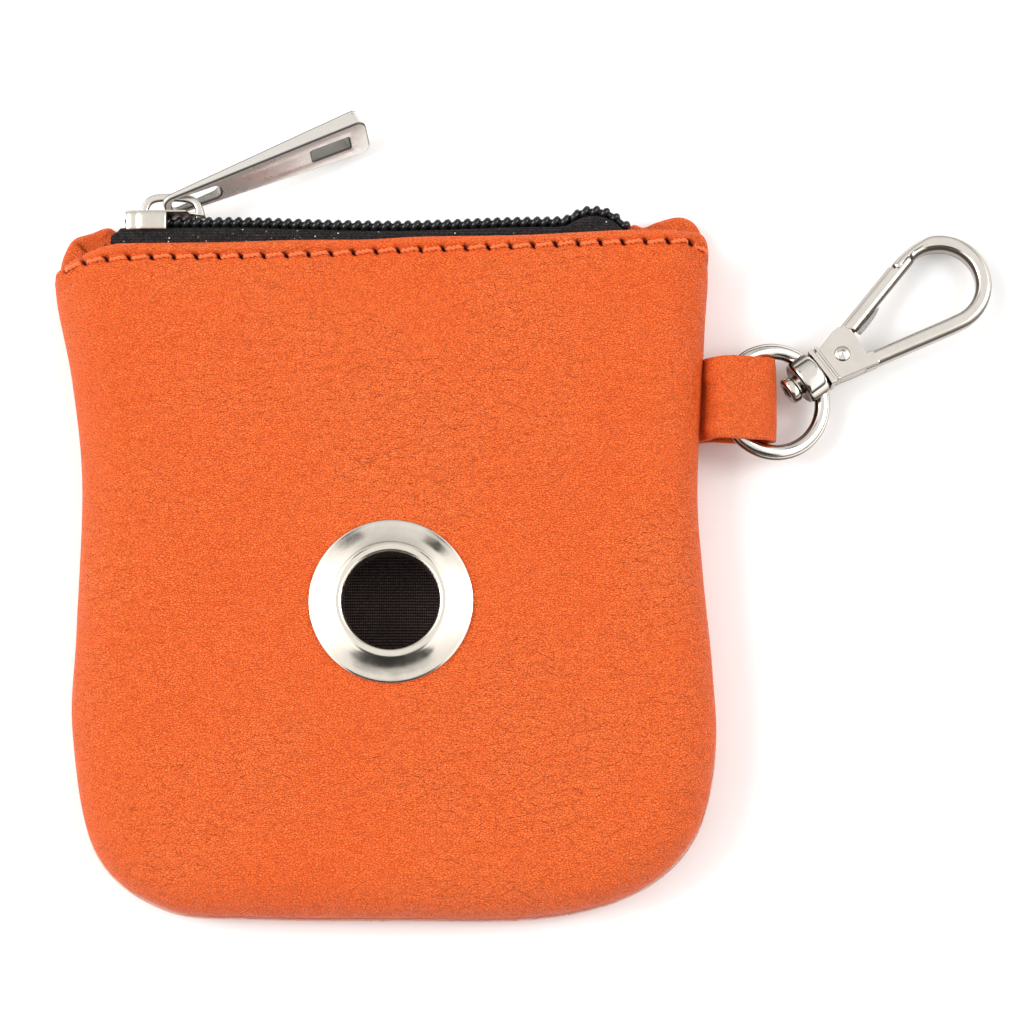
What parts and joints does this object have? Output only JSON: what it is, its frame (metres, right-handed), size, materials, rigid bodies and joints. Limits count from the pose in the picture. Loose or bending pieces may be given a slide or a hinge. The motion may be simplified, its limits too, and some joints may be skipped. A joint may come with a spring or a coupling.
{
  "type": "treat pouch",
  "caption": "Small flat zipped leather pouch with a metal eyelet hole to take treats or bags out through, and a side tab with a swivelling snap hook.",
  "frame": {"origin": "on the flat back face of the pouch, straight under the centre of the eyelet", "axes": "+X to the right toward the tab and hook, +Y toward the zip, +Z out of the front face along the eyelet axis"},
  "size_m": [0.1418, 0.1222, 0.0151],
  "materials": {
    "orange_leather": "soft pebbled orange leather",
    "black_lining": "plain-woven black lining cloth",
    "black_tape": "woven black zip tape",
    "black_nylon": "glossy black nylon coil",
    "nickel": "polished nickel plate",
    "orange_thread": "twisted orange thread",
    "spring_steel": "thin spring steel"
  },
  "bodies": {
    "pouch": {"front_panel": "orange_leather", "back_panel": "orange_leather", "front_lining": "black_lining", "back_lining": "black_lining", "tab_anchor": "orange_leather", "zipper_tape_front": "black_tape", "zipper_tape_back": "black_tape", "zipper_coil_front": "black_nylon", "zipper_coil_back": "black_nylon", "top_stitching_front": "orange_thread", "top_stitching_back": "orange_thread", "side_seam_stitching": "orange_thread", "eyelet": "nickel", "eyelet_washer": "nickel"},
    "tab": {"tab_loop": "orange_leather"},
    "swivel_ring": {"swivel_ring": "nickel"},
    "snap_hook": {"hook_body": "nickel", "swivel_post": "nickel", "gate_pin": "nickel"},
    "gate": {"gate": "nickel", "gate_spring": "spring_steel"},
    "slider": {"slider_body": "nickel"},
    "puller": {"puller": "nickel"}
  },
  "joints": [
    {"name": "slider_slide", "type": "slide", "parent": "pouch", "child": "slider", "axis": [1, 0, 0], "range_m": [0, 0.054]},
    {"name": "puller_hinge", "type": "hinge", "parent": "slider", "child": "puller", "pos_m": [-0.0343, 0.06075, 0.007], "axis": [-0.102, 0.4468, 0.8888], "range_deg": [-2, 140]},
    {"name": "tab_flex", "type": "hinge", "parent": "pouch", "child": "tab", "pos_m": [0.048, 0.03115, 0.0045], "axis": [0, 1, 0], "range_deg": [-12, 20]},
    {"name": "ring_turn", "type": "hinge", "parent": "tab", "child": "swivel_ring", "pos_m": [0.0573, 0.0311, 0.0052], "axis": [0.2588, 0, 0.9659], "range_deg": [-75, 8]},
    {"name": "hook_swivel", "type": "hinge", "parent": "swivel_ring", "child": "snap_hook", "pos_m": [0.0573, 0.0311, 0.0052], "axis": [0.8106, 0.5803, -0.0785], "continuous": true},
    {"name": "gate_pivot", "type": "hinge", "parent": "snap_hook", "child": "gate", "pos_m": [0.06761, 0.03814, 0.00424], "axis": [0.0128, 0.1164, 0.9931], "range_deg": [-24, 0], "stiffness_Nm_per_rad": 0.02}
  ]
}
